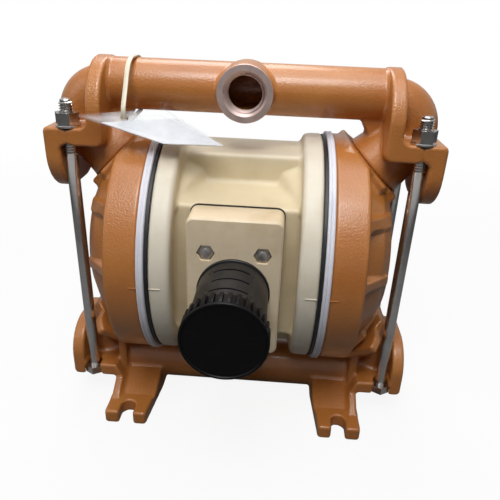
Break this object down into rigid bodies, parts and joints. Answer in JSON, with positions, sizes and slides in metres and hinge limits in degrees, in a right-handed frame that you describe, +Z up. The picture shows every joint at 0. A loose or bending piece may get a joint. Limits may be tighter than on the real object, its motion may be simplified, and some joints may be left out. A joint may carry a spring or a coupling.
{
  "type": "air_operated_diaphragm_pump",
  "caption": "Air operated double diaphragm pump: tan castings held by long tie bolts, cream centre section, black exhaust muffler, slotted feet and a blank tag tied to the discharge tube.",
  "frame": {"origin": "on the floor under the shaft's middle, halfway between the liquid chambers", "axes": "+X along the shaft to the right liquid chamber, -Y towards the muffler, +Z up"},
  "size_m": [0.269, 0.2373, 0.2716],
  "materials": {
    "casting": "satin",
    "center_plastic": "satin",
    "plate_plastic": "satin",
    "muffler_plastic": "matte",
    "cap_plastic": "matte",
    "ptfe": "satin",
    "backup_rubber": "matte",
    "seal_rubber": "matte",
    "gasket": "matte",
    "stainless": "satin",
    "zinc_screws": "satin",
    "piston_metal": "satin",
    "sleeve_brass": "satin",
    "valve_casting": "satin",
    "seat_plastic": "satin",
    "ball_plastic": "satin",
    "tie_nylon": "satin",
    "sleeve_clear": "gloss",
    "card": "matte"
  },
  "bodies": {
    "pump": {"discharge_manifold": "casting", "inlet_manifold": "casting", "liquid_chamber_right": "casting", "liquid_chamber_left": "casting", "center_section": "center_plastic", "muffler_plate_gasket": "gasket", "air_valve_gasket": "gasket", "muffler_plate": "plate_plastic", "muffler_body": "muffler_plastic", "muffler_cap": "cap_plastic", "valve_screws": "zinc_screws", "valve_screw_nuts": "zinc_screws", "air_valve_body": "valve_casting", "air_valve_end_cap": "valve_casting", "air_valve_cap_ring": "seal_rubber", "air_valve_cap_screws": "zinc_screws", "shaft_seal_right": "seal_rubber", "shaft_seal_left": "seal_rubber", "pilot_sleeve": "sleeve_brass", "pilot_sleeve_rings": "seal_rubber", "retaining_plate_right": "stainless", "retaining_plate_left": "stainless", "retaining_plate_screws": "zinc_screws", "backup_diaphragm_right": "backup_rubber", "backup_diaphragm_left": "backup_rubber", "ptfe_diaphragm_right": "ptfe", "ptfe_diaphragm_left": "ptfe", "inlet_seat_right": "seat_plastic", "inlet_seat_left": "seat_plastic", "inlet_seat_ring_right": "seal_rubber", "inlet_seat_ring_left": "seal_rubber", "outlet_seat_right": "seat_plastic", "outlet_seat_left": "seat_plastic", "outlet_seat_ring_right": "seal_rubber", "outlet_seat_ring_left": "seal_rubber", "tie_bolts": "stainless", "tie_bolt_nuts": "stainless", "tie_bolt_washers": "stainless", "tag_tie": "tie_nylon", "tag_sleeve": "sleeve_clear", "tag_card": "card"},
    "shaft": {"diaphragm_shaft": "stainless", "disc_spring_right": "stainless", "disc_spring_left": "stainless", "inner_piston_right": "piston_metal", "inner_piston_left": "piston_metal", "outer_piston_right": "piston_metal", "outer_piston_left": "piston_metal"},
    "pilot": {"pilot_spool": "stainless"},
    "air_spool": {"air_valve_spool": "piston_metal"},
    "inlet_check_right": {"inlet_ball_right": "ball_plastic"},
    "inlet_check_left": {"inlet_ball_left": "ball_plastic"},
    "outlet_check_right": {"outlet_ball_right": "ball_plastic"},
    "outlet_check_left": {"outlet_ball_left": "ball_plastic"}
  },
  "joints": [
    {"name": "shaft_slide", "type": "slide", "parent": "pump", "child": "shaft", "axis": [1, 0, 0], "range_m": [-0.01, 0.01], "deforming": ["backup_diaphragm_right", "backup_diaphragm_left", "ptfe_diaphragm_right", "ptfe_diaphragm_left"]},
    {"name": "pilot_spool_slide", "type": "slide", "parent": "pump", "child": "pilot", "axis": [1, 0, 0], "range_m": [-0.004, 0.004]},
    {"name": "air_spool_slide", "type": "slide", "parent": "pump", "child": "air_spool", "axis": [0, 0, 1], "range_m": [-0.007, 0.0068]},
    {"name": "inlet_check_right_lift", "type": "slide", "parent": "pump", "child": "inlet_check_right", "axis": [-0.7071, 0, 0.7071], "range_m": [0, 0.007]},
    {"name": "inlet_check_left_lift", "type": "slide", "parent": "pump", "child": "inlet_check_left", "axis": [0.7071, 0, 0.7071], "range_m": [0, 0.007]},
    {"name": "outlet_check_right_lift", "type": "slide", "parent": "pump", "child": "outlet_check_right", "axis": [0.7071, 0, 0.7071], "range_m": [0, 0.007]},
    {"name": "outlet_check_left_lift", "type": "slide", "parent": "pump", "child": "outlet_check_left", "axis": [-0.7071, 0, 0.7071], "range_m": [0, 0.007]}
  ],
  "couplings": [
    {"joint": "pilot_spool_slide", "follows": "shaft_slide", "ratio": 0.4}
  ]
}
